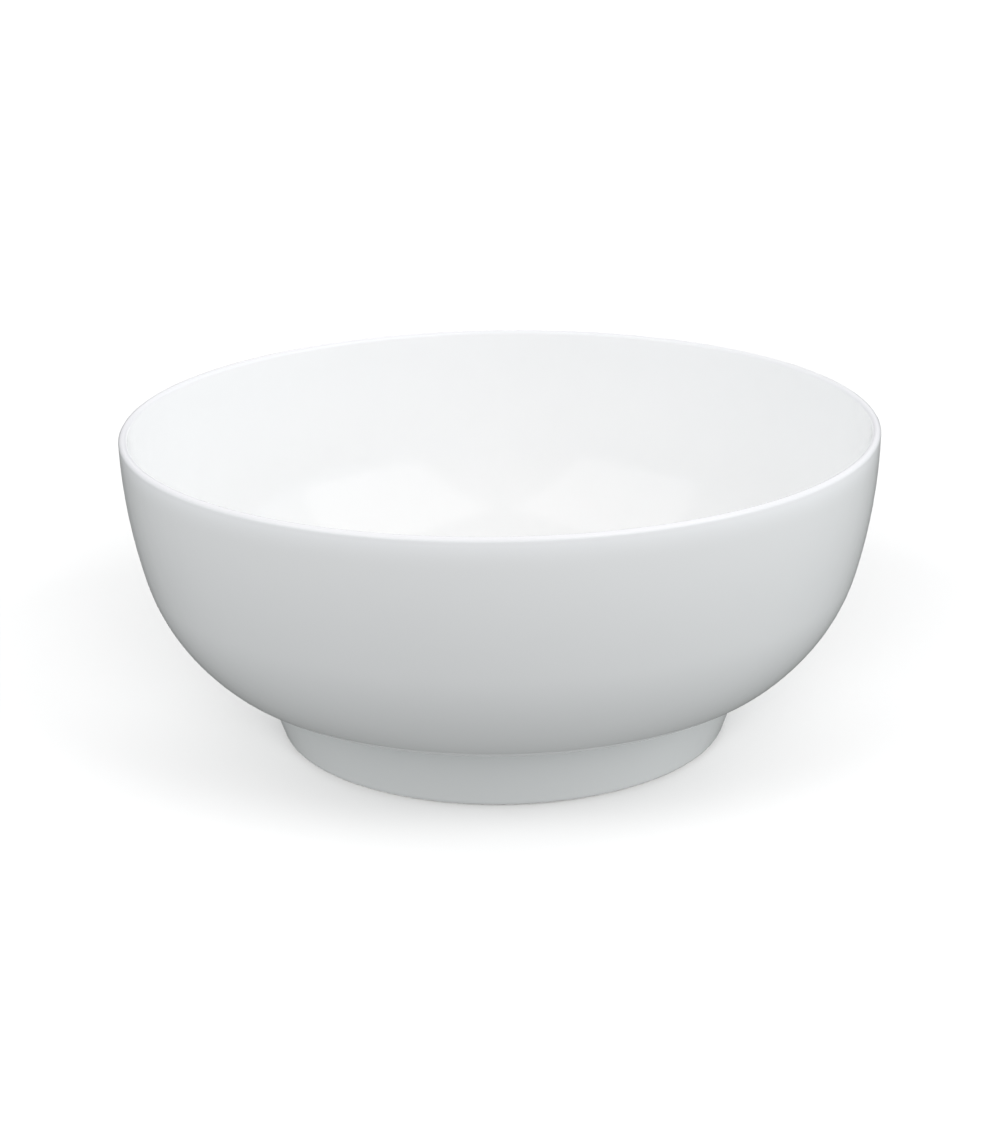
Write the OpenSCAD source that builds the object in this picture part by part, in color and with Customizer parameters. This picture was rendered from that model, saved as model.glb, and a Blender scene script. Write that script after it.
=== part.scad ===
// Porcelain serving bowl on a turned foot ring.
// A wheel-formed vessel, a foot ring luted under it with slip, and a glaze coat over both.
// Every piece is a ring or a dish about the Z axis. The bowl stands on z = 0.
// Outside sizes include the glaze. All sizes are in millimetres and all angles in degrees.

/* [Rim and height] */
// Diameter across the rim
rim_d = 240; // [236:1:246]
// Height from the table to the top of the lip
bowl_h = 102; // [100:0.5:106]
// Thickness of the rounded lip
lip_t = 2.7; // [2.2:0.1:3.2]
// Lean of the wall just under the lip, from upright
lip_lean = 0.6; // [0:0.1:1.5]

/* [Outside curve] */
// Radius of the long curve from the lip to the belly
wall_r = 172; // [165:1:180]
// Lean of the wall where the belly curve starts
wall_lean = 15; // [14:0.5:16]
// Radius of the belly curve
belly_r = 60; // [57:0.5:61]
// Lean of the wall where the belly turns under
belly_lean = 48; // [46:0.5:50]
// Radius of the turn under the belly
under_r = 28; // [25:0.5:30]
// Lean of the underside where it runs in to the foot
under_lean = 80; // [78:0.5:82]

/* [Inside curve] */
// Radius of the long curve inside the wall
in_wall_r = 168; // [164:1:172]
// Lean of the inside wall where the well of the bowl starts
in_wall_lean = 15; // [14:0.5:16]
// Radius of the curve inside the belly
in_belly_r = 56; // [54:0.5:57]
// Lean of the inside wall where it turns in to the floor
in_belly_lean = 45; // [43:0.5:46]
// Lean of the floor at its edge; 90 is level
floor_lean = 88.5; // [88:0.1:89.5]
// Thickness from the joint with the foot up to the edge of the floor
floor_t = 5.4; // [4.8:0.1:6]

/* [Foot ring] */
// Diameter of the circle that the foot stands on
stand_d = 138.6; // [136:0.2:141]
// Width of the flat that touches the table
stand_w = 0.8; // [0.4:0.1:1.5]
// Flare of the foot, from upright, widening towards the bowl
foot_flare = 19; // [17:0.5:21]
// Rounding of the outer edge that the foot stands on
foot_round = 3.6; // [3:0.1:4]
// Rounding of the inner edge that the foot stands on
foot_in_round = 2; // [1.6:0.1:2.5]
// Rise of the ceiling inside the foot, from its edge to its middle
well_rise = 0.8; // [0.2:0.1:1.2]

/* [Joint] */
// Thickness of the slip between the foot ring and the vessel
slip_t = 0.4; // [0.3:0.1:0.8]
// Radius of the joint's fillet outside the foot
fillet_r = 1.6; // [1.2:0.1:2.4]
// Radius of the joint's fillet inside the foot
fillet_in_r = 3; // [2:0.1:4]

/* [Glaze] */
// Thickness of the glaze
glaze_t = 0.3; // [0.2:0.05:0.4]
// Height of the wiped, unglazed band at the bottom of the foot
dry_h = 1; // [0.8:0.1:1.3]

/* [Detail] */
// Degrees of curve that each straight step of an outline takes
facet = 2.4; // [1:0.1:4]
// Steps around the bowl
around = 240; // [96:12:360]

/* [Hidden] */
clay_colour = [0.93, 0.92, 0.89];
slip_colour = [0.90, 0.89, 0.86];
glaze_colour = [0.96, 0.97, 0.97];
// Outline points closer than this are one point
same_point = 0.001;
// Lean of a face that looks straight down
down = 90;

// Unit vector out of a wall at this lean: 0 looks outwards, 90 looks down, 180 looks at the axis
function out(lean) = [cos(lean), -sin(lean)];

// Points at radius r about c, from one lean to another; a negative r gives a hollow curve
function curve(c, r, from, to) =
    let (n = max(3, ceil(abs(to - from) / facet)))
    [for (i = [0:n]) c + r * out(from + (to - from) * i / n)];

// Point where two straight faces cross; a face is every p with p * normal == k
function crossing(n1, k1, n2, k2) =
    let (det = n1[0] * n2[1] - n1[1] * n2[0])
    [(k1 * n2[1] - k2 * n1[1]) / det, (n1[0] * k2 - n2[0] * k1) / det];

// Distance from the axis, at height z, of a straight face
function face_x(n, k, z) = (k - n[1] * z) / n[0];

// The list back to front
function back(points) = [for (i = [len(points) - 1:-1:0]) points[i]];

// The list without points that repeat
function unique(points) =
    [for (i = [0:len(points) - 1])
        if (i == 0 || norm(points[i] - points[max(0, i - 1)]) > same_point) points[i]];

// Lip and outside curve: each centre follows from the one above, so the curves run on smoothly
lip_c = [rim_d / 2 - lip_t / 2, bowl_h - lip_t / 2];
wall_c = lip_c - (wall_r - lip_t / 2) * out(lip_lean);
belly_c = wall_c + (wall_r - belly_r) * out(wall_lean);
under_c = belly_c + (belly_r - under_r) * out(belly_lean);
under_n = out(under_lean);
under_k = under_c * under_n + under_r;

// Foot ring: rounded edges, and the straight faces that run up from them
edge_out_c = [stand_d / 2, foot_round - glaze_t];
edge_in_c = [stand_d / 2 - stand_w, foot_in_round - glaze_t];
foot_out_n = out(foot_flare);
foot_in_n = -foot_out_n;
foot_out_k = edge_out_c * foot_out_n + foot_round;
foot_in_k = edge_in_c * foot_in_n + foot_in_round;

// Joint: the land is the flat underside of the vessel that the foot is luted to
joint_corner = crossing(foot_out_n, foot_out_k - glaze_t, under_n, under_k - glaze_t);
land_z = joint_corner[1];
foot_top = land_z - slip_t;
well_z = land_z - glaze_t;
fillet_c = crossing(foot_out_n, foot_out_k + fillet_r, under_n, under_k + fillet_r);
fillet_in_c = crossing(foot_in_n, foot_in_k + fillet_in_r, out(down), fillet_in_r - well_z);

// Inside curve: the turn in to the floor has the radius that brings it down to the floor's edge
in_wall_c = lip_c - (in_wall_r + lip_t / 2) * out(lip_lean);
in_belly_c = in_wall_c + (in_wall_r - in_belly_r) * out(in_wall_lean);
in_belly_end = in_belly_c + in_belly_r * out(in_belly_lean);
turn_r = (in_belly_end[1] - land_z - floor_t) / (sin(floor_lean) - sin(in_belly_lean));
turn_c = in_belly_end - turn_r * out(in_belly_lean);
floor_r = turn_r + turn_c[0] / cos(floor_lean);
floor_c = turn_c - (floor_r - turn_r) * out(floor_lean);

// Leans at which the glaze stops on the foot's two rounded edges
dry_lean = asin((edge_out_c[1] - dry_h) / foot_round);
dry_in_lean = 180 - asin((edge_in_c[1] - dry_h) / foot_in_round);

// Stretches of the outline, d below the glazed surface: 0 is the glaze, glaze_t is the clay
function lip(d) = curve(lip_c, lip_t / 2 - d, lip_lean - 180, lip_lean);
function outside(d) = concat(
    curve(wall_c, wall_r - d, lip_lean, wall_lean),
    curve(belly_c, belly_r - d, wall_lean, belly_lean),
    curve(under_c, under_r - d, belly_lean, under_lean));
function inside(d) = concat(
    curve(in_wall_c, in_wall_r + d, lip_lean, in_wall_lean),
    curve(in_belly_c, in_belly_r + d, in_wall_lean, in_belly_lean),
    curve(turn_c, turn_r + d, in_belly_lean, floor_lean),
    curve(floor_c, floor_r + d, floor_lean, down));
function fillet(d) = curve(fillet_c, -(fillet_r + d), under_lean, foot_flare);
function fillet_in(d) = curve(fillet_in_c, -(fillet_in_r + d), 180 + foot_flare, down);
function edge(d, to) = curve(edge_out_c, foot_round - d, foot_flare, to);
function edge_in(d, from) = curve(edge_in_c, foot_in_round - d, from, 180 + foot_flare);

// Ceiling inside the foot: a shallow dome from the inner fillet to the axis
dome_steps = 12;
function ceiling(d) =
    [for (i = [0:dome_steps])
        let (part = 1 - i / dome_steps)
        [fillet_in_c[0] * part, well_z + d + well_rise * (1 - part * part)]];

// Skins that the glaze follows, from the floor over the lip to the foot, and inside the foot
function bowl_skin(d) = concat(back(inside(d)), lip(d), outside(d), fillet(d), edge(d, dry_lean));
function well_skin(d) = concat(edge_in(d, dry_in_lean), fillet_in(d), ceiling(d));

module turned(outline) {
    rotate_extrude($fn = around) polygon(unique(outline));
}

// Vessel: wall, floor and the land that the foot is luted to
module bowl_body() {
    color(clay_colour)
        turned(concat(back(inside(glaze_t)), lip(glaze_t), outside(glaze_t),
            [joint_corner], ceiling(glaze_t)));
}

// Foot ring: flared wall with rounded, unglazed standing edges
module foot_ring() {
    color(clay_colour)
        turned(concat(
            [[face_x(foot_out_n, foot_out_k - glaze_t, foot_top), foot_top]],
            edge(glaze_t, down),
            edge_in(glaze_t, down),
            [[face_x(foot_in_n, foot_in_k - glaze_t, foot_top), foot_top]]));
}

// Luting slip: the film between foot and vessel, with the fillets that it squeezed out
module luting_slip() {
    color(slip_colour)
        turned(concat(
            fillet(glaze_t),
            [[face_x(foot_out_n, foot_out_k - glaze_t, foot_top), foot_top]],
            [[face_x(foot_in_n, foot_in_k - glaze_t, foot_top), foot_top]],
            fillet_in(glaze_t),
            [joint_corner]));
}

// Glaze over the inside, the lip and the outside, down to the wiped band on the foot
module glaze_coat() {
    color(glaze_colour) turned(concat(bowl_skin(0), back(bowl_skin(glaze_t))));
}

// Glaze inside the foot ring, cut off from the rest by the wiped standing edge
module foot_well_glaze() {
    color(glaze_colour) turned(concat(well_skin(0), back(well_skin(glaze_t))));
}

bowl_body();
foot_ring();
luting_slip();
glaze_coat();
foot_well_glaze();
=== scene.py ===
import math

import bmesh
import bpy
from mathutils import Matrix, Vector


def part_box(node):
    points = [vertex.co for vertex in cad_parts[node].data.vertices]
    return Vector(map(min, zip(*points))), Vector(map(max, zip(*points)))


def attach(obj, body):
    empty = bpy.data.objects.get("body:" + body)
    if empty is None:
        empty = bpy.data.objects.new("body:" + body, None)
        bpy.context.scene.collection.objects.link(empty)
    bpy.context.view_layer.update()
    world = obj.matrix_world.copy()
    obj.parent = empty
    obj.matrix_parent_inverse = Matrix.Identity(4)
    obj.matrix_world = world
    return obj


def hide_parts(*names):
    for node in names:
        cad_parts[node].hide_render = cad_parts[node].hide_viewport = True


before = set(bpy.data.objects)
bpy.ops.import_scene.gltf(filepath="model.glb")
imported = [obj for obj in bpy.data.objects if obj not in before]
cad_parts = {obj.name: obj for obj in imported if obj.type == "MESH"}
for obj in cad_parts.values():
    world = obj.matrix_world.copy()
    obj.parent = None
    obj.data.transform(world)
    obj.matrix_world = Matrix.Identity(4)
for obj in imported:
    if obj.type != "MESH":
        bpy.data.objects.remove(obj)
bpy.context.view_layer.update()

_, coat_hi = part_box("glaze_coat")
_, foot_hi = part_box("foot_ring")

# ---------------------------------------------------------------- sizes, in metres and degrees
# The CAD boxes give the rim and the top of the foot. The rest are the design's own driving sizes, so
# the finer meshes follow the same outline. Each pair is a curve's radius and the lean where it ends.
RIM_R = min(coat_hi.x, coat_hi.y)
RIM_Z = coat_hi.z
FOOT_TOP = foot_hi.z
LIP_R = 0.00135
LIP_LEAN = 0.6
WALL_R, WALL_LEAN = 0.172, 15.0
BELLY_R, BELLY_LEAN = 0.060, 48.0
UNDER_R, UNDER_LEAN = 0.028, 80.0
IN_WALL_R, IN_WALL_LEAN = 0.168, 15.0
IN_BELLY_R, IN_BELLY_LEAN = 0.056, 45.0
FLOOR_LEAN = 88.5
FLOOR_T = 0.0054
STAND_R = 0.0693
STAND_W = 0.0008
FOOT_FLARE = 19.0
FOOT_ROUND = 0.0036
FOOT_IN_ROUND = 0.002
WELL_RISE = 0.0008
FILLET_R = 0.0016
FILLET_IN_R = 0.003
DRY_H = 0.001            # height of the wiped, unglazed band
GLAZE_T = 0.0003
ROLL_R = GLAZE_T / 2     # half circle that closes the glaze at its edge
DOWN = 90.0              # lean of a face that looks straight down
INWARD = 180.0           # lean of a face that looks at the axis

# Fineness of the meshes
ARC_STEP = 2.0           # degrees of curve in each step of an outline
ARC_MIN = 6              # fewest steps in a curve
LIP_STEPS = 18
FLOOR_STEPS = 12
DOME_STEPS = 12
ROLL_STEPS = 8
AROUND = 256             # steps around the bowl
SAME_POINT = 1e-6

# ---------------------------------------------------------------- looks
GLAZE_WHITES = (0.852, 0.854, 0.853), (0.876, 0.878, 0.877)
GLAZE_POLISH = 0.06, 0.10
GLAZE_IOR = 1.52
# Painted light: the outside is painted brighter just under the lip, in place of light that soaks
# through the thin wall
PAINTED_GLOW_COLOUR = (0.940, 0.943, 0.950)
PAINTED_GLOW_Z = RIM_Z - 0.010, RIM_Z - 0.0024
# Painted shade: a thin darker, lilac band along the lip's crest
CREST_SHADE_COLOUR = (0.795, 0.790, 0.808)
CREST_SHADE_Z = RIM_Z - 0.0014, RIM_Z - 0.0002
# A little darker and greener in the crease between the belly and the foot
CREASE_COLOUR = (0.828, 0.842, 0.830)
CREASE_SHARE = 0.5         # how far the darker, greener crease colour covers the white
SIDE_BLUR = 0.03         # metres, for how sharply the painted brightening on the outside stops at the lip
GRAIN_SHADE = 0.8        # colour of the clay's grain, as a share of its darker colour
CLAY_ROUGHNESS = 0.55, 0.75
CLAY_IOR = 1.5

# Light that the bowl sees from the room and from the table, at the far left and the far right
ROOM_LIGHT = 0.71, 0.985
TABLE_LIGHT = 0.33, 0.46
SIDE_GAIN = 1.46         # how much brighter the room is at both sides than in front
TOP_GAIN = 1.05          # how much brighter the room is overhead
BEHIND_GAIN = 0.55       # share of the light that is left low down behind the bowl
# Where these change, as parts of a direction of length 1: up, up, away from the camera, up
TABLE_EDGE = -0.12, 0.12
OVERHEAD = 0.2, 0.7
BEHIND_Y = 0.2, 0.8
BEHIND_Z = 0.4, 0.1
ROOM_TINT = (0.932, 0.945, 1.0)
SIDE_TINT = (0.872, 0.950, 1.0)
TOP_TINT = (1.0, 1.0, 1.0)
TABLE_TINT = (0.965, 0.995, 0.985)
SOFTBOX_TINT = (1.0, 0.985, 0.965)

# Softboxes: name, azimuth, elevation, distance, width, height, power in watts
BOWL_LIGHTS = (
    ("key_right", 53, 44, 1.5, 1.35, 1.35, 4.8),
    ("key_left", -53, 44, 1.5, 1.35, 1.35, 4.2))
FLOOR_LIGHTS = (
    ("floor_front", 0, 12, 2.0, 2.4, 0.7, 190.0),
    ("floor_right", 57, 37, 2.0, 1.2, 0.9, 30.0),
    ("floor_left", -57, 37, 2.0, 1.2, 0.9, 28.0),
    ("floor_back_right", 155, 12, 2.0, 1.6, 0.7, 50.0),
    ("floor_back_left", -155, 12, 2.0, 1.6, 0.7, 46.0))
LIGHTS_AIM = Vector((0.0, 0.0, 0.06))

PAPER_GREYS = (0.355, 0.355, 0.355), (0.365, 0.365, 0.365)
PAPER_FLAT = 3.4         # radius of the level part
PAPER_BEND = 1.6         # radius of the sweep up to the wall
PAPER_TOP = 4.0          # height of the wall
PAPER_RINGS = 0.5, 1.5   # radii between which the paper lifts to pure white
PAPER_AROUND = 96
PAPER_BEND_STEP = 6      # degrees of the sweep in each of its steps

CAMERA_AIM = Vector((-0.0005, 0.0, 0.0522))
CAMERA_DISTANCE = 0.797
CAMERA_ELEVATION = 19.14
CAMERA_ROLL = 0.848
CAMERA_LENS = 78.05


# ---------------------------------------------------------------- outline
def out(lean):
    """Unit vector out of a wall: 0 looks outwards, 90 looks down, 180 looks at the axis."""
    a = math.radians(lean)
    return Vector((math.cos(a), -math.sin(a)))


def arc(centre, radius, start, end, steps):
    """Points about a centre from one lean to another; a negative radius gives a hollow curve."""
    return [centre + radius * out(start + (end - start) * i / steps) for i in range(steps + 1)]


def curve(centre, radius, start, end):
    """An arc with as many steps as its angle asks for."""
    return arc(centre, radius, start, end, max(ARC_MIN, math.ceil(abs(end - start) / ARC_STEP)))


def crossing(n1, k1, n2, k2):
    """Where two straight faces cross; a face is every p with p . normal == k."""
    det = n1.x * n2.y - n1.y * n2.x
    return Vector(((k1 * n2.y - k2 * n1.y) / det, (n1.x * k2 - n2.x * k1) / det))


# Each centre follows from the one above, so the curves run on smoothly
lip_c = Vector((RIM_R - LIP_R, RIM_Z - LIP_R))
wall_c = lip_c - (WALL_R - LIP_R) * out(LIP_LEAN)
belly_c = wall_c + (WALL_R - BELLY_R) * out(WALL_LEAN)
under_c = belly_c + (BELLY_R - UNDER_R) * out(BELLY_LEAN)
under_n = out(UNDER_LEAN)
under_k = under_c.dot(under_n) + UNDER_R

edge_c = Vector((STAND_R, FOOT_ROUND - GLAZE_T))
edge_in_c = Vector((STAND_R - STAND_W, FOOT_IN_ROUND - GLAZE_T))
foot_n = out(FOOT_FLARE)
foot_k = edge_c.dot(foot_n) + FOOT_ROUND
foot_in_k = edge_in_c.dot(-foot_n) + FOOT_IN_ROUND

joint = crossing(foot_n, foot_k - GLAZE_T, under_n, under_k - GLAZE_T)
well_z = joint.y - GLAZE_T
fillet_c = crossing(foot_n, foot_k + FILLET_R, under_n, under_k + FILLET_R)
fillet_in_c = crossing(-foot_n, foot_in_k + FILLET_IN_R, out(DOWN), FILLET_IN_R - well_z)

in_wall_c = lip_c - (IN_WALL_R + LIP_R) * out(LIP_LEAN)
in_belly_c = in_wall_c + (IN_WALL_R - IN_BELLY_R) * out(IN_WALL_LEAN)
in_belly_end = in_belly_c + IN_BELLY_R * out(IN_BELLY_LEAN)
turn_drop = math.sin(math.radians(FLOOR_LEAN)) - math.sin(math.radians(IN_BELLY_LEAN))
turn_r = (in_belly_end.y - joint.y - FLOOR_T) / turn_drop
turn_c = in_belly_end - turn_r * out(IN_BELLY_LEAN)
floor_r = turn_r + turn_c.x / math.cos(math.radians(FLOOR_LEAN))
floor_c = turn_c - (floor_r - turn_r) * out(FLOOR_LEAN)

# The glaze's rolled edge takes half its thickness, so the skin stops that much short of the dry band
dry_lean = math.degrees(math.asin((edge_c.y - DRY_H) / FOOT_ROUND))
dry_in_lean = INWARD - math.degrees(math.asin((edge_in_c.y - DRY_H) / FOOT_IN_ROUND))
coat_end = dry_lean - math.degrees(ROLL_R / FOOT_ROUND)
well_end = dry_in_lean + math.degrees(ROLL_R / FOOT_IN_ROUND)


# Stretches of the outline, d below the glazed surface
def inside(d):
    """The inside curve, from the lip to the axis."""
    return (curve(in_wall_c, IN_WALL_R + d, LIP_LEAN, IN_WALL_LEAN)
            + curve(in_belly_c, IN_BELLY_R + d, IN_WALL_LEAN, IN_BELLY_LEAN)
            + curve(turn_c, turn_r + d, IN_BELLY_LEAN, FLOOR_LEAN)
            + arc(floor_c, floor_r + d, FLOOR_LEAN, DOWN, FLOOR_STEPS))


def lip(d):
    """The half circle over the lip, from the inside to the outside."""
    return arc(lip_c, LIP_R - d, LIP_LEAN - INWARD, LIP_LEAN, LIP_STEPS)


def outside(d):
    """The outside curve, from the lip through the fillet to the foot."""
    return (curve(wall_c, WALL_R - d, LIP_LEAN, WALL_LEAN)
            + curve(belly_c, BELLY_R - d, WALL_LEAN, BELLY_LEAN)
            + curve(under_c, UNDER_R - d, BELLY_LEAN, UNDER_LEAN)
            + curve(fillet_c, -(FILLET_R + d), UNDER_LEAN, FOOT_FLARE))


def foot_edge(d, end):
    """The foot's outer standing edge, from its flared wall to the lean at its end."""
    return curve(edge_c, FOOT_ROUND - d, FOOT_FLARE, end)


def foot_edge_in(d, start):
    """The foot's inner standing edge, from the lean at its start to the inner wall."""
    return curve(edge_in_c, FOOT_IN_ROUND - d, start, INWARD + FOOT_FLARE)


def well(d):
    """The skin inside the foot: the inner fillet, then the shallow dome to the axis."""
    parts = [1 - i / DOME_STEPS for i in range(DOME_STEPS + 1)]
    dome = [Vector((fillet_in_c.x * part, well_z + d + WELL_RISE * (1 - part ** 2))) for part in parts]
    return curve(fillet_in_c, -(FILLET_IN_R + d), INWARD + FOOT_FLARE, DOWN) + dome


def rolled_edge(centre, radius, lean, turn):
    """Half circle that closes a glaze skin at its end. turn is 1 where the skin's lean grows towards
    that end, and -1 where it starts there."""
    middle = centre + (radius - ROLL_R) * out(lean)
    across = ROLL_R * out(lean)
    along = ROLL_R * turn * out(lean + 90)
    angles = [math.pi * i / ROLL_STEPS for i in range(1, ROLL_STEPS)]
    return [middle + math.cos(a) * across + math.sin(a) * along for a in angles]


# ---------------------------------------------------------------- meshes
def ring(bm, radius, height, count):
    """Vertices of a level circle about Z, or one vertex repeated where it has no radius."""
    if radius < SAME_POINT:
        return [bm.verts.new((0, 0, height))] * count
    angles = (math.tau * i / count for i in range(count))
    return [bm.verts.new((radius * math.cos(a), radius * math.sin(a), height)) for a in angles]


def bridge(bm, a, b):
    """Faces between two rings, or none between two points of the axis."""
    if a[0] is a[1] and b[0] is b[1]:
        return
    for i in range(len(a)):
        j = (i + 1) % len(a)
        bm.faces.new(list(dict.fromkeys((a[i], b[i], b[j], a[j]))))


def smooth_object(name, bm):
    """The object made of a finished mesh, with smooth shading."""
    mesh = bpy.data.meshes.new(name)
    bm.to_mesh(mesh)
    bm.free()
    mesh.polygons.foreach_set("use_smooth", [True] * len(mesh.polygons))
    obj = bpy.data.objects.new(name, mesh)
    bpy.context.scene.collection.objects.link(obj)
    return obj


def turned(name, outline):
    """A closed solid turned about Z from an outline of (radius, height) points."""
    points = [p for i, p in enumerate(outline) if i == 0 or (p - outline[i - 1]).length > SAME_POINT]
    bm = bmesh.new()
    rings = [ring(bm, p.x, p.y, AROUND) for p in points]
    for a, b in zip(rings, rings[1:] + rings[:1]):
        bridge(bm, a, b)
    bmesh.ops.recalc_face_normals(bm, faces=bm.faces)
    return smooth_object(name, bm)


def make_glaze_coat():
    """Glaze over the inside, the lip and the outside, down to its rolled edge on the foot."""
    def skin(d):
        return inside(d)[::-1] + lip(d) + outside(d) + foot_edge(d, coat_end)
    edge = rolled_edge(edge_c, FOOT_ROUND, coat_end, 1)
    return turned("glaze_coat_skin", skin(0) + edge + skin(GLAZE_T)[::-1])


def make_well_glaze():
    """Glaze inside the foot, up from its rolled edge."""
    def skin(d):
        return foot_edge_in(d, well_end) + well(d)
    edge = rolled_edge(edge_in_c, FOOT_IN_ROUND, well_end, -1)
    return turned("foot_well_glaze_skin", skin(GLAZE_T)[::-1] + edge[::-1] + skin(0))


def make_foot_ring():
    """The clay of the foot, whose flat top meets the slip."""
    def top(normal, k):
        return Vector(((k - normal.y * FOOT_TOP) / normal.x, FOOT_TOP))
    return turned("foot_ring_fired",
                  [top(foot_n, foot_k - GLAZE_T)]
                  + foot_edge(GLAZE_T, DOWN)
                  + foot_edge_in(GLAZE_T, DOWN)
                  + [top(-foot_n, foot_in_k - GLAZE_T)])


# ---------------------------------------------------------------- shader nodes
def new_material(name):
    """A material with its node tree, its shader and its place in the object, in metres."""
    material = bpy.data.materials.new(name)
    material.use_nodes = True
    tree = material.node_tree
    place = tree.nodes.new("ShaderNodeTexCoord").outputs["Object"]
    return material, tree, tree.nodes["Principled BSDF"], place


def noise(tree, place, scale, detail=2.0, roughness=0.5):
    node = tree.nodes.new("ShaderNodeTexNoise")
    tree.links.new(place, node.inputs["Vector"])
    node.inputs["Scale"].default_value = scale
    node.inputs["Detail"].default_value = detail
    node.inputs["Roughness"].default_value = roughness
    return node.outputs["Fac"]


def remap(tree, value, source, target=(0.0, 1.0)):
    """The value moved from one range to another, and held inside it."""
    node = tree.nodes.new("ShaderNodeMapRange")
    tree.links.new(value, node.inputs["Value"])
    for name, number in zip(("From Min", "From Max", "To Min", "To Max"), (*source, *target)):
        node.inputs[name].default_value = number
    return node.outputs["Result"]


def mix_colour(tree, factor, a, b):
    """Mix of two colours, each of them an (r, g, b) or another node's output."""
    node = tree.nodes.new("ShaderNodeMix")
    node.data_type = "RGBA"
    tree.links.new(factor, node.inputs["Factor"])
    colour_a, colour_b, colour_out = node.inputs[6], node.inputs[7], node.outputs[2]
    for socket, value in ((colour_a, a), (colour_b, b)):
        if isinstance(value, tuple):
            socket.default_value = (*value, 1.0)
        else:
            tree.links.new(value, socket)
    return colour_out


def mix_value(tree, factor, a, b):
    node = tree.nodes.new("ShaderNodeMix")
    for socket, value in zip((node.inputs[0], node.inputs[2], node.inputs[3]), (factor, a, b)):
        tree.links.new(value, socket)
    return node.outputs[0]


def multiply(tree, a, b):
    node = tree.nodes.new("ShaderNodeMath")
    node.operation = "MULTIPLY"
    tree.links.new(a, node.inputs[0])
    tree.links.new(b, node.inputs[1])
    return node.outputs[0]


def bump(tree, height, distance, strength, onto=None):
    node = tree.nodes.new("ShaderNodeBump")
    tree.links.new(height, node.inputs["Height"])
    node.inputs["Distance"].default_value = distance
    node.inputs["Strength"].default_value = strength
    if onto is not None:
        tree.links.new(onto, node.inputs["Normal"])
    return node.outputs["Normal"]


def axes_of(tree, vector):
    """The vector's X, Y and Z."""
    node = tree.nodes.new("ShaderNodeSeparateXYZ")
    tree.links.new(vector, node.inputs[0])
    return [node.outputs[axis] for axis in "XYZ"]


def facing_out(tree, place):
    """1 on the outside of the bowl and 0 on its inside."""
    normal = tree.nodes.new("ShaderNodeTexCoord").outputs["Normal"]
    node = tree.nodes.new("ShaderNodeVectorMath")
    node.operation = "DOT_PRODUCT"
    tree.links.new(normal, node.inputs[0])
    tree.links.new(place, node.inputs[1])
    return remap(tree, node.outputs["Value"], (-SIDE_BLUR, SIDE_BLUR))


# ---------------------------------------------------------------- materials
def glaze_material():
    """Clear glaze over white clay: glossy and faintly uneven. The outside is painted brighter just
    under the lip, in place of light that soaks through the thin wall; a thin darker, lilac band of
    painted shade runs along the lip's crest; and the crease is a little darker and greener."""
    material, tree, shader, place = new_material("clear_glaze")
    z = axes_of(tree, place)[2]
    white = mix_colour(tree, noise(tree, place, scale=14.0, detail=3.0), *GLAZE_WHITES)
    # Painted light: brighter on the outside just under the lip
    near_lip = remap(tree, z, PAINTED_GLOW_Z)
    painted_glow = multiply(tree, multiply(tree, near_lip, near_lip), facing_out(tree, place))
    with_painted_glow = mix_colour(tree, painted_glow, white, PAINTED_GLOW_COLOUR)
    # Painted shade along the lip's crest
    with_crest_shade = mix_colour(tree, remap(tree, z, CREST_SHADE_Z), with_painted_glow, CREST_SHADE_COLOUR)
    # A little darker and greener towards the crease
    crease_band = remap(tree, z, (joint.y + 0.0035, joint.y - 0.001), (0.0, CREASE_SHARE))
    colour = mix_colour(tree, crease_band, with_crest_shade, CREASE_COLOUR)
    polish = remap(tree, noise(tree, place, scale=60.0, detail=3.0), (0.3, 0.7), GLAZE_POLISH)
    ripple = bump(tree, noise(tree, place, scale=90.0, detail=1.0), distance=0.0004, strength=0.12)
    peel = bump(tree, noise(tree, place, scale=420.0), distance=0.00008, strength=0.15, onto=ripple)
    tree.links.new(colour, shader.inputs["Base Color"])
    tree.links.new(polish, shader.inputs["Roughness"])
    tree.links.new(peel, shader.inputs["Normal"])
    shader.inputs["IOR"].default_value = GLAZE_IOR
    return material


def clay_material(name, light, dark):
    """Unglazed fired clay: dry, finely grained, with a slight grey from handling."""
    material, tree, shader, place = new_material(name)
    stained = mix_colour(tree, noise(tree, place, scale=70.0, detail=4.0), light, dark)
    grain = noise(tree, place, scale=2600.0, detail=3.0, roughness=0.7)
    speck = tuple(GRAIN_SHADE * c for c in dark)
    colour = mix_colour(tree, remap(tree, grain, (0.35, 0.75), (0.0, 0.25)), stained, speck)
    tree.links.new(colour, shader.inputs["Base Color"])
    tree.links.new(remap(tree, grain, (0.3, 0.7), CLAY_ROUGHNESS), shader.inputs["Roughness"])
    tree.links.new(bump(tree, grain, distance=0.00012, strength=0.5), shader.inputs["Normal"])
    shader.inputs["IOR"].default_value = CLAY_IOR
    return material


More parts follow.
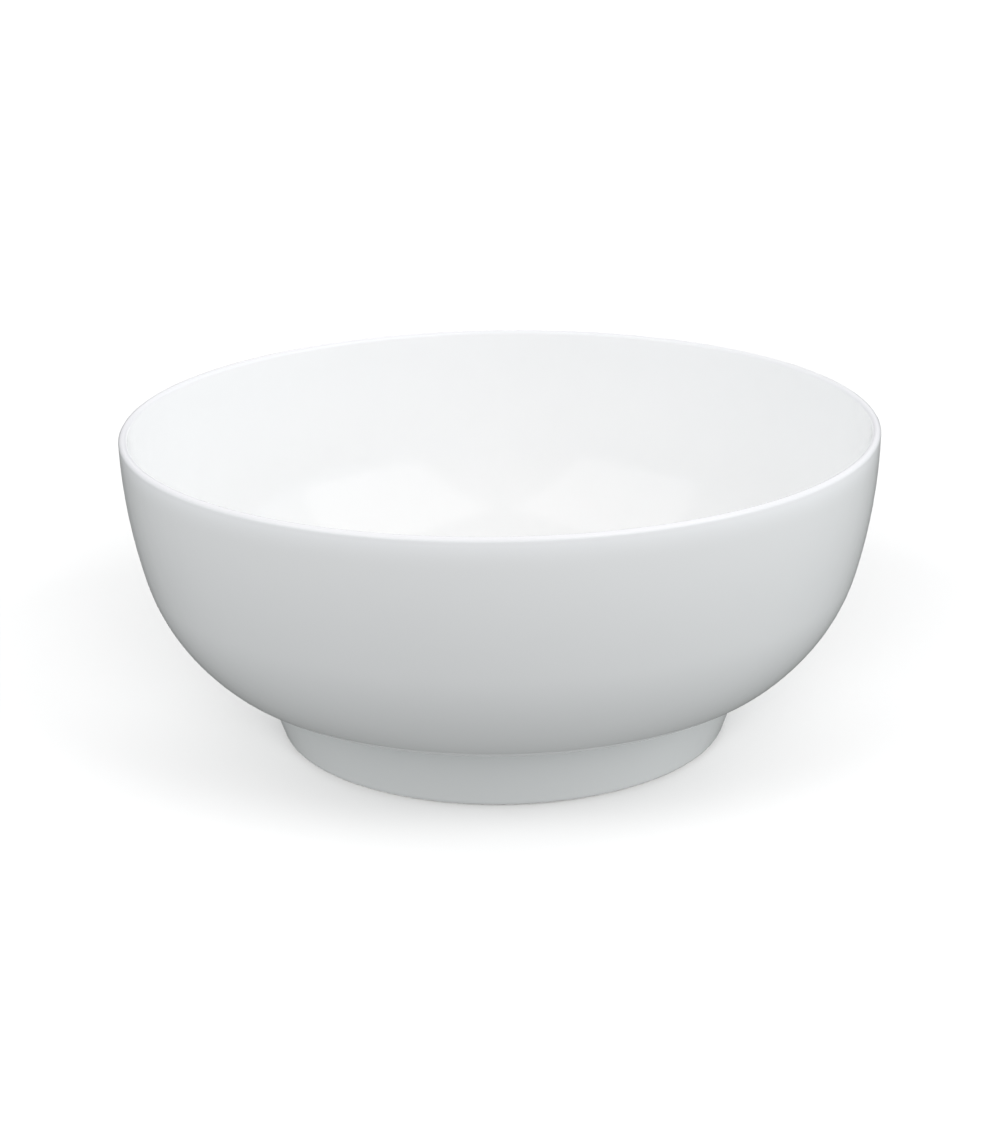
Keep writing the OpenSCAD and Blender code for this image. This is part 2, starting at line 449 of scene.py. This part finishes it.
def paper_material():
    """Pale paper, lifted to pure white away from the bowl so the sweep never turns grey. It is
    clear from below, so the foot can be looked at."""
    material, tree, shader, place = new_material("pale_floor")
    grey = mix_colour(tree, noise(tree, place, scale=3.0), *PAPER_GREYS)
    tree.links.new(grey, shader.inputs["Base Color"])
    from_bowl = tree.nodes.new("ShaderNodeVectorMath")
    from_bowl.operation = "LENGTH"
    tree.links.new(place, from_bowl.inputs[0])
    lift = remap(tree, from_bowl.outputs["Value"], PAPER_RINGS)
    tree.links.new(lift, shader.inputs["Emission Strength"])
    shader.inputs["Emission Color"].default_value = (1.0, 1.0, 1.0, 1.0)
    shader.inputs["Roughness"].default_value = 0.9
    shader.inputs["Specular IOR Level"].default_value = 0.0
    one_sided = tree.nodes.new("ShaderNodeMixShader")
    from_below = tree.nodes.new("ShaderNodeNewGeometry").outputs["Backfacing"]
    clear = tree.nodes.new("ShaderNodeBsdfTransparent").outputs["BSDF"]
    tree.links.new(from_below, one_sided.inputs["Fac"])
    tree.links.new(shader.outputs["BSDF"], one_sided.inputs[1])
    tree.links.new(clear, one_sided.inputs[2])
    tree.links.new(one_sided.outputs["Shader"], tree.nodes["Material Output"].inputs["Surface"])
    return material


def give(obj, material):
    obj.data.materials.clear()
    obj.data.materials.append(material)


# ---------------------------------------------------------------- the object
glaze = glaze_material()
biscuit = clay_material("fired_porcelain", light=(0.80, 0.79, 0.76), dark=(0.76, 0.745, 0.71))
slip = clay_material("fired_slip", light=(0.79, 0.78, 0.75), dark=(0.74, 0.73, 0.70))

for piece, node, material, slot_name in (
        (make_glaze_coat(), "glaze_coat", glaze, "clear_glaze"),
        (make_well_glaze(), "foot_well_glaze", glaze, "clear_glaze"),
        (make_foot_ring(), "foot_ring", biscuit, "fired_porcelain")):
    give(piece, material)
    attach(piece, "root")
    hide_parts(node)

give(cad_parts["bowl_body"], biscuit)
give(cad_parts["luting_slip"], slip)


# ---------------------------------------------------------------- stage
def make_floor():
    """A pale round floor that sweeps up to a wall on every side. It catches the bowl's shadow,
    while the bowl itself is lit by the studio light only."""
    sweep = [math.radians(a) for a in range(PAPER_BEND_STEP, 91, PAPER_BEND_STEP)]
    profile = [(r, 0.0) for r in (0.0, *PAPER_RINGS, PAPER_FLAT)]
    profile += [(PAPER_FLAT + PAPER_BEND * math.sin(a), PAPER_BEND * (1 - math.cos(a))) for a in sweep]
    profile.append((PAPER_FLAT + PAPER_BEND, PAPER_TOP))
    bm = bmesh.new()
    rings = [ring(bm, r, z, PAPER_AROUND) for r, z in profile]
    for a, b in zip(rings, rings[1:]):
        bridge(bm, a, b)
    obj = smooth_object("pale_floor", bm)
    obj.visible_diffuse = False
    obj.visible_glossy = False
    obj.visible_shadow = False
    give(obj, paper_material())
    return obj


def softbox(name, azimuth, elevation, distance, width, height, power):
    """A rectangular light that faces the bowl. Azimuth 0 is the camera's side and 90 its right."""
    a, e = math.radians(azimuth), math.radians(elevation)
    towards = Vector((math.sin(a) * math.cos(e), -math.cos(a) * math.cos(e), math.sin(e)))
    data = bpy.data.lights.new(name, "AREA")
    data.shape = "RECTANGLE"
    data.size, data.size_y = width, height
    data.energy = power
    obj = bpy.data.objects.new(name, data)
    bpy.context.scene.collection.objects.link(obj)
    obj.location = LIGHTS_AIM + distance * towards
    obj.rotation_mode = "QUATERNION"
    obj.rotation_quaternion = towards.to_track_quat("Z", "Y")
    return obj


def make_lights(paper):
    """Two softboxes for the bowl, and others that light the floor and nothing else."""
    for row in BOWL_LIGHTS:
        softbox(*row).data.color = SOFTBOX_TINT
    floor_only = bpy.data.collections.new("floor_only")
    floor_only.objects.link(paper)
    for row in FLOOR_LIGHTS:
        softbox(*row).light_linking.receiver_collection = floor_only


def make_world():
    """A pale room over a grey table: brighter at the sides, most on the right, and darker low down
    behind the bowl."""
    world = bpy.data.worlds.new("studio")
    world.use_nodes = True
    tree = world.node_tree
    x, y, z = axes_of(tree, tree.nodes.new("ShaderNodeTexCoord").outputs["Generated"])
    left_to_right = -1.0, 1.0
    above = remap(tree, z, TABLE_EDGE)
    high = remap(tree, z, OVERHEAD)
    behind = multiply(tree, remap(tree, y, BEHIND_Y), remap(tree, z, BEHIND_Z))
    sideways = multiply(tree, x, x)

    def gain(where, amount):
        return remap(tree, where, (0.0, 1.0), (1.0, amount))

    room = multiply(tree, gain(sideways, SIDE_GAIN), remap(tree, x, left_to_right, ROOM_LIGHT))
    level = mix_value(tree, above, remap(tree, x, left_to_right, TABLE_LIGHT), room)
    strength = multiply(tree, multiply(tree, level, gain(behind, BEHIND_GAIN)), gain(high, TOP_GAIN))
    room_tint = mix_colour(tree, high, mix_colour(tree, sideways, ROOM_TINT, SIDE_TINT), TOP_TINT)
    tint = mix_colour(tree, above, TABLE_TINT, room_tint)
    background = tree.nodes["Background"]
    tree.links.new(strength, background.inputs["Strength"])
    tree.links.new(tint, background.inputs["Color"])
    bpy.context.scene.world = world


def make_camera():
    """Looks down from the front, rolled a little clockwise."""
    elevation, roll = math.radians(CAMERA_ELEVATION), math.radians(CAMERA_ROLL)
    back = Vector((0, -math.cos(elevation), math.sin(elevation)))
    right = Vector((1, 0, 0))
    up = back.cross(right)
    data = bpy.data.cameras.new("camera")
    data.sensor_width = 36.0
    data.lens = CAMERA_LENS
    data.clip_start, data.clip_end = 0.01, 50.0
    obj = bpy.data.objects.new("camera", data)
    bpy.context.scene.collection.objects.link(obj)
    rolled_right = math.cos(roll) * right - math.sin(roll) * up
    rolled_up = math.sin(roll) * right + math.cos(roll) * up
    turn = Matrix((rolled_right, rolled_up, back)).transposed().to_4x4()
    obj.matrix_world = Matrix.Translation(CAMERA_AIM + CAMERA_DISTANCE * back) @ turn
    bpy.context.scene.camera = obj


make_lights(make_floor())
make_world()
make_camera()

scene = bpy.context.scene
scene.view_settings.view_transform = "Standard"
scene.view_settings.look = "None"
